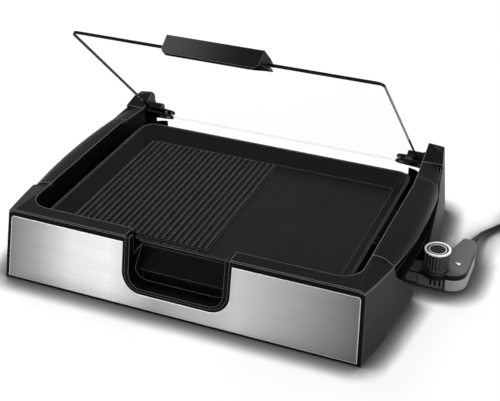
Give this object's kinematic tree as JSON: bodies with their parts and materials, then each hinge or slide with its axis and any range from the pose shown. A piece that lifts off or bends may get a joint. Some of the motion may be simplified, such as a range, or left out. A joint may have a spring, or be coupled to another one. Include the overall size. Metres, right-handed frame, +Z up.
{
  "type": "electric indoor grill with lid",
  "caption": "Countertop electric grill with a ribbed non-stick plate, hinged glass lid, drip drawer and plug-in temperature control.",
  "frame": {"origin": "middle of the object's box on the floor, without the free cord and its plug", "axes": "+Z up, +Y to the back where the lid is hinged, +X to the side of the plug-in control"},
  "size_m": [0.7187, 0.4447, 0.3232],
  "materials": {
    "housing_plastic": "satin moulded, fine grain",
    "cover_plastic": "satin moulded",
    "fascia_plastic": "polished",
    "panel_steel": "brushed from side to side",
    "liner_enamel": "black heat-proof paint",
    "plate_coating": "cast, with a dark non-stick coating",
    "element_steel": "dull, heat-tinted",
    "plated_steel": "zinc plated",
    "block_ceramic": "unglazed",
    "drawer_plastic": "satin",
    "foot_rubber": "matte",
    "hinge_plastic": "semi-gloss",
    "lid_tempered_glass": "clear, polished edge",
    "grip_plastic": "semi-gloss",
    "control_grey": "satin grey",
    "control_top": "satin dark grey",
    "switch_phenolic": "moulded",
    "lens_clear": "polished, translucent",
    "knob_plastic": "semi-gloss",
    "ring_chrome": "polished",
    "contact_brass": "plain",
    "cord_rubber": "smooth"
  },
  "bodies": {
    "base": {"housing": "housing_plastic", "top_frame": "cover_plastic", "front_fascia": "fascia_plastic", "steel_panel": "panel_steel", "left_handle": "cover_plastic", "right_handle": "cover_plastic", "left_rear_block": "cover_plastic", "right_rear_block": "cover_plastic", "left_post": "cover_plastic", "right_post": "cover_plastic", "inner_liner": "liner_enamel", "grill_plate": "plate_coating", "heating_element": "element_steel", "element_clips": "plated_steel", "terminal_block": "block_ceramic", "bottom_cover": "housing_plastic", "rubber_feet": "foot_rubber", "bottom_screws": "plated_steel", "left_hinge_bracket": "hinge_plastic", "right_hinge_bracket": "hinge_plastic"},
    "drawer": {"drip_drawer": "drawer_plastic"},
    "lid": {"lid_glass": "lid_tempered_glass", "lid_handle": "grip_plastic", "lid_handle_screws": "plated_steel", "left_hinge_clamp": "hinge_plastic", "right_hinge_clamp": "hinge_plastic", "clamp_screws": "plated_steel", "hinge_pins": "plated_steel"},
    "control": {"control_lower_shell": "control_grey", "control_upper_shell": "control_top", "contact_sleeves": "contact_brass", "probe_rod": "element_steel", "thermostat_switch": "switch_phenolic", "control_screws": "plated_steel", "pilot_lens": "lens_clear", "strain_relief": "cord_rubber", "cord_lead": "cord_rubber", "cord_coil": "cord_rubber", "cord_tail": "cord_rubber", "plug_body": "cord_rubber", "plug_pins": "contact_brass"},
    "knob": {"temperature_knob": "knob_plastic", "knob_ring": "ring_chrome", "knob_cap": "knob_plastic", "knob_shaft": "plated_steel"}
  },
  "joints": [
    {"name": "lid_hinge", "type": "hinge", "parent": "base", "child": "lid", "pos_m": [0, 0.1735, 0.0935], "axis": [-1, 0, 0], "range_deg": [-44.5, 55.5]},
    {"name": "drawer_slide", "type": "slide", "parent": "base", "child": "drawer", "axis": [0, -1, 0], "range_m": [0, 0.15]},
    {"name": "control_unplug", "type": "slide", "parent": "base", "child": "control", "axis": [1, 0, 0], "range_m": [0, 0.06]},
    {"name": "knob_turn", "type": "hinge", "parent": "control", "child": "knob", "pos_m": [0.25978, 0, 0.04], "axis": [0, 0, -1], "range_deg": [0, 285]}
  ]
}
